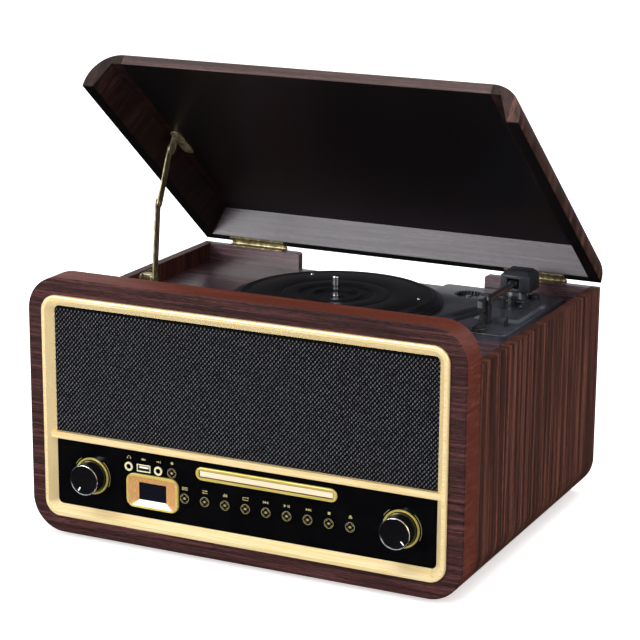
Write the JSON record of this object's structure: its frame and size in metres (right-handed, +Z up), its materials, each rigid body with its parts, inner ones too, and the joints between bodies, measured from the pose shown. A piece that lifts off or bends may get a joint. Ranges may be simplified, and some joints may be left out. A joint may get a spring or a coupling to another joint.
{
  "type": "record player",
  "caption": "Veneered wooden music centre with hinged lid, belt-drive turntable and tonearm, disc tray, knobs, push buttons and a cloth speaker front in a gold bezel.",
  "frame": {"origin": "on the surface the feet stand on, at the middle of the whole part's width and depth with its lid up", "axes": "+X to the right seen from the front, +Y to the rear, +Z up"},
  "size_m": [0.44, 0.3816, 0.4415],
  "materials": {
    "black_plastic": "satin",
    "board_green": "solder mask",
    "board_wood": "raw board",
    "brass": "antique brass",
    "chrome": "polished",
    "deck_black": "semi-gloss",
    "drive_grey": "matt",
    "gloss_black": "gloss",
    "gold_trim": "bright gold lacquer",
    "rubber": "matt",
    "smoked_window": "gloss",
    "speaker_cloth": "woven",
    "steel": "plated",
    "veneer_case": "satin veneer",
    "veneer_front": "satin veneer",
    "veneer_lid": "satin veneer"
  },
  "bodies": {
    "case": {"front_panel": "veneer_front", "side_left": "veneer_case", "side_right": "veneer_case", "base_board": "board_wood", "rear_wall": "veneer_case", "socket_panel": "black_plastic", "tray_floor": "veneer_case", "floor_battens": "board_wood", "feet": "rubber", "bezel": "gold_trim", "grille": "speaker_cloth", "baffle": "board_wood", "speaker_left": "steel", "speaker_right": "steel", "control_panel": "gloss_black", "display_frame": "gold_trim", "display_window": "smoked_window", "slot_frame": "gold_trim", "knob_rings": "gold_trim", "audio_jacks": "black_plastic", "data_port": "steel", "circuit_boards": "board_green", "disc_drive": "drive_grey", "deck_plate": "deck_black", "spindle": "chrome", "motor": "steel", "belt": "rubber", "tonearm_base": "deck_black", "arm_rest": "black_plastic", "hinge_case_leaves": "brass", "stay_bracket": "brass"},
    "lid": {"lid_board": "veneer_lid", "lid_side_rails": "veneer_lid", "lid_rail_rear": "veneer_lid", "hinge_lid_leaves": "brass", "stay_lid_bracket": "brass"},
    "stay_lower": {"stay_arm_lower": "brass"},
    "stay_upper": {"stay_arm_upper": "brass"},
    "platter": {"platter": "black_plastic"},
    "motor_pulley": {"motor_pulley": "steel"},
    "arm_block": {"tonearm_block": "deck_black"},
    "arm": {"tonearm": "black_plastic", "cartridge": "black_plastic"},
    "cue_lever": {"cue_lever": "black_plastic"},
    "cue_lift": {"cue_lift": "black_plastic"},
    "speed_selector": {"speed_selector": "black_plastic"},
    "stop_switch": {"stop_switch": "black_plastic"},
    "volume": {"knob_volume": "black_plastic"},
    "tuning": {"knob_tuning": "black_plastic"},
    "disc_tray": {"disc_tray": "gold_trim"},
    "button_record": {"button_record": "gloss_black"},
    "button_mode": {"button_mode": "gloss_black"},
    "button_source": {"button_source": "gloss_black"},
    "button_equaliser": {"button_equaliser": "gloss_black"},
    "button_repeat": {"button_repeat": "gloss_black"},
    "button_previous": {"button_previous": "gloss_black"},
    "button_play": {"button_play": "gloss_black"},
    "button_next": {"button_next": "gloss_black"},
    "button_stop": {"button_stop": "gloss_black"},
    "button_open": {"button_open": "gloss_black"}
  },
  "joints": [
    {"name": "lid_hinge", "type": "hinge", "parent": "case", "child": "lid", "pos_m": [0, 0.16899, 0.21393], "axis": [1, 0, 0], "range_deg": [0, 38.8]},
    {"name": "stay_lower_pivot", "type": "hinge", "parent": "case", "child": "stay_lower", "pos_m": [-0.196, 0.01339, 0.2094], "axis": [1, 0, 0], "range_deg": [0, 85.06]},
    {"name": "stay_upper_pivot", "type": "hinge", "parent": "lid", "child": "stay_upper", "pos_m": [-0.19405, 0.04309, 0.33504], "axis": [1, 0, 0], "range_deg": [-99.2, 0]},
    {"name": "platter_spin", "type": "hinge", "parent": "case", "child": "platter", "pos_m": [-0.0065, 0.03779, 0.2095], "axis": [0, 0, 1], "continuous": true},
    {"name": "pulley_spin", "type": "hinge", "parent": "case", "child": "motor_pulley", "pos_m": [0.03575, -0.03539, 0.2015], "axis": [0, 0, 1], "continuous": true},
    {"name": "arm_swing", "type": "hinge", "parent": "case", "child": "arm_block", "pos_m": [0.153, 0.10879, 0.2225], "axis": [0, 0, -1], "range_deg": [0, 42]},
    {"name": "arm_lift", "type": "hinge", "parent": "arm_block", "child": "arm", "pos_m": [0.153, 0.10629, 0.2225], "axis": [-1, 0, 0], "range_deg": [0, 7]},
    {"name": "cue_lever_turn", "type": "hinge", "parent": "case", "child": "cue_lever", "pos_m": [0.153, 0.09179, 0.2085], "axis": [-1, 0, 0], "range_deg": [0, 60]},
    {"name": "cue_lift_rise", "type": "slide", "parent": "case", "child": "cue_lift", "axis": [0, 0, 1], "range_m": [0, 0.0024]},
    {"name": "speed_turn", "type": "hinge", "parent": "case", "child": "speed_selector", "pos_m": [0.16, -0.00121, 0.2015], "axis": [0, 0, 1], "range_deg": [-25, 25]},
    {"name": "stop_switch_slide", "type": "slide", "parent": "case", "child": "stop_switch", "axis": [0, 1, 0], "range_m": [0, 0.006]},
    {"name": "volume_turn", "type": "hinge", "parent": "case", "child": "volume", "pos_m": [-0.1565, -0.17921, 0.0636], "axis": [0, 1, 0], "range_deg": [0, 300]},
    {"name": "tuning_turn", "type": "hinge", "parent": "case", "child": "tuning", "pos_m": [0.1595, -0.17921, 0.0636], "axis": [0, 1, 0], "continuous": true},
    {"name": "disc_tray_slide", "type": "slide", "parent": "case", "child": "disc_tray", "axis": [0, -1, 0], "range_m": [0, 0.125]},
    {"name": "press_record", "type": "slide", "parent": "case", "child": "button_record", "axis": [0, 1, 0], "range_m": [0, 0.0007], "stiffness_N_per_m": 600, "springref_m": -0.0005},
    {"name": "press_mode", "type": "slide", "parent": "case", "child": "button_mode", "axis": [0, 1, 0], "range_m": [0, 0.0007], "stiffness_N_per_m": 600, "springref_m": -0.0005},
    {"name": "press_source", "type": "slide", "parent": "case", "child": "button_source", "axis": [0, 1, 0], "range_m": [0, 0.0007], "stiffness_N_per_m": 600, "springref_m": -0.0005},
    {"name": "press_equaliser", "type": "slide", "parent": "case", "child": "button_equaliser", "axis": [0, 1, 0], "range_m": [0, 0.0007], "stiffness_N_per_m": 600, "springref_m": -0.0005},
    {"name": "press_repeat", "type": "slide", "parent": "case", "child": "button_repeat", "axis": [0, 1, 0], "range_m": [0, 0.0007], "stiffness_N_per_m": 600, "springref_m": -0.0005},
    {"name": "press_previous", "type": "slide", "parent": "case", "child": "button_previous", "axis": [0, 1, 0], "range_m": [0, 0.0007], "stiffness_N_per_m": 600, "springref_m": -0.0005},
    {"name": "press_play", "type": "slide", "parent": "case", "child": "button_play", "axis": [0, 1, 0], "range_m": [0, 0.0007], "stiffness_N_per_m": 600, "springref_m": -0.0005},
    {"name": "press_next", "type": "slide", "parent": "case", "child": "button_next", "axis": [0, 1, 0], "range_m": [0, 0.0007], "stiffness_N_per_m": 600, "springref_m": -0.0005},
    {"name": "press_stop", "type": "slide", "parent": "case", "child": "button_stop", "axis": [0, 1, 0], "range_m": [0, 0.0007], "stiffness_N_per_m": 600, "springref_m": -0.0005},
    {"name": "press_open", "type": "slide", "parent": "case", "child": "button_open", "axis": [0, 1, 0], "range_m": [0, 0.0007], "stiffness_N_per_m": 600, "springref_m": -0.0005}
  ],
  "couplings": [
    {"joint": "stay_lower_pivot", "follows": "lid_hinge", "ratio": 2.1921},
    {"joint": "stay_upper_pivot", "follows": "lid_hinge", "ratio": -2.5564},
    {"joint": "pulley_spin", "follows": "platter_spin", "ratio": 17.79},
    {"joint": "cue_lever_turn", "follows": "cue_lift_rise", "rad_per_m": 435.9}
  ]
}
